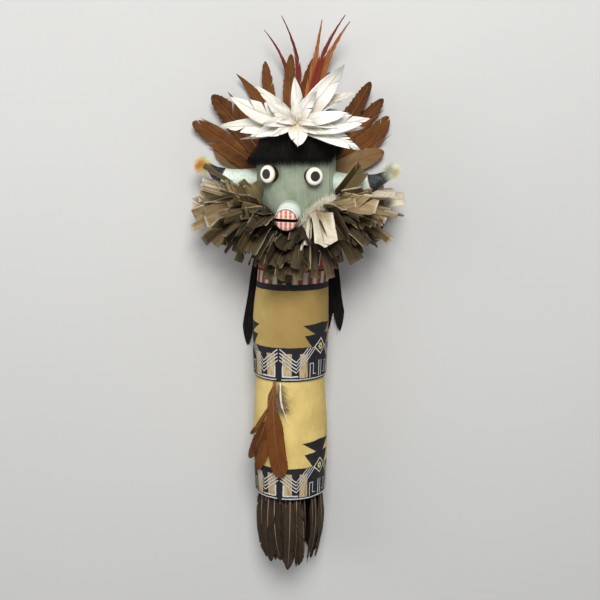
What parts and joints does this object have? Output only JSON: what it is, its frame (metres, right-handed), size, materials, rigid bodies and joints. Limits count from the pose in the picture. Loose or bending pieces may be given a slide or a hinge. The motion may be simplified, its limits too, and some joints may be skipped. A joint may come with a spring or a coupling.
{
  "type": "kachina doll",
  "caption": "Tall carved and painted wooden kachina doll in two blanket tiers, with a horned tube-snouted mask, a feather ruff, crest, fan and skirt.",
  "frame": {"origin": "middle of the doll's bounding box, on the surface that it lies on", "axes": "+Y from the feather skirt to the head, +X to the right of someone facing the doll, +Z out of the face, straight up from the surface that it lies on"},
  "size_m": [0.1766, 0.4576, 0.1029],
  "materials": {
    "painted_wood": "matte paint over cottonwood root",
    "horn_paint": "matte pale green paint, black tips",
    "eye_paint": "white and black paint",
    "beak_paint": "white paint, red striped lips",
    "black_hair": "matte black hair",
    "rust_feather": "soft satin feather",
    "dyed_red_feather": "dyed feather",
    "dyed_orange_feather": "dyed feather",
    "white_feather": "soft white feather",
    "ruff_feather": "dry brown feather",
    "dark_feather": "dark brown feather",
    "dyed_down": "fluffy down"
  },
  "bodies": {
    "root": {"carved_figure": "painted_wood", "snout": "beak_paint", "eye_left": "eye_paint", "eye_right": "eye_paint", "horn_left": "horn_paint", "horn_right": "horn_paint", "horn_plume_left": "dyed_down", "horn_plume_right": "dyed_down", "hair_fringe": "black_hair", "hair_back": "black_hair", "fan_feather_01": "rust_feather", "fan_feather_02": "rust_feather", "fan_feather_03": "rust_feather", "fan_feather_04": "rust_feather", "fan_feather_05": "rust_feather", "fan_feather_06": "rust_feather", "fan_feather_07": "rust_feather", "fan_feather_08": "rust_feather", "fan_feather_09": "rust_feather", "fan_feather_10": "rust_feather", "fan_feather_11": "rust_feather", "fan_feather_12": "rust_feather", "crest_spike_1": "dyed_red_feather", "crest_spike_2": "dyed_red_feather", "crest_spike_3": "dyed_orange_feather", "crest_spike_4": "dyed_red_feather", "crest_spike_5": "dyed_orange_feather", "rosette_feather_01": "white_feather", "rosette_feather_02": "white_feather", "rosette_feather_03": "white_feather", "rosette_feather_04": "white_feather", "rosette_feather_05": "white_feather", "rosette_feather_06": "white_feather", "rosette_feather_07": "white_feather", "rosette_feather_08": "white_feather", "rosette_feather_09": "white_feather", "rosette_feather_10": "white_feather", "rosette_feather_11": "white_feather", "rosette_feather_12": "white_feather", "rosette_feather_13": "white_feather", "rosette_feather_14": "white_feather", "ruff": "ruff_feather", "hanging_feather_1": "rust_feather", "hanging_feather_2": "rust_feather", "skirt_feather_01": "dark_feather", "skirt_feather_02": "dark_feather", "skirt_feather_03": "dark_feather", "skirt_feather_04": "dark_feather", "skirt_feather_05": "dark_feather", "skirt_feather_06": "dark_feather", "skirt_feather_07": "dark_feather", "skirt_feather_08": "dark_feather", "skirt_feather_09": "dark_feather", "skirt_feather_10": "dark_feather", "skirt_feather_11": "dark_feather", "skirt_feather_12": "dark_feather", "skirt_feather_13": "dark_feather", "skirt_feather_14": "dark_feather", "skirt_feather_15": "dark_feather", "skirt_feather_16": "dark_feather"}
  },
  "joints": []
}
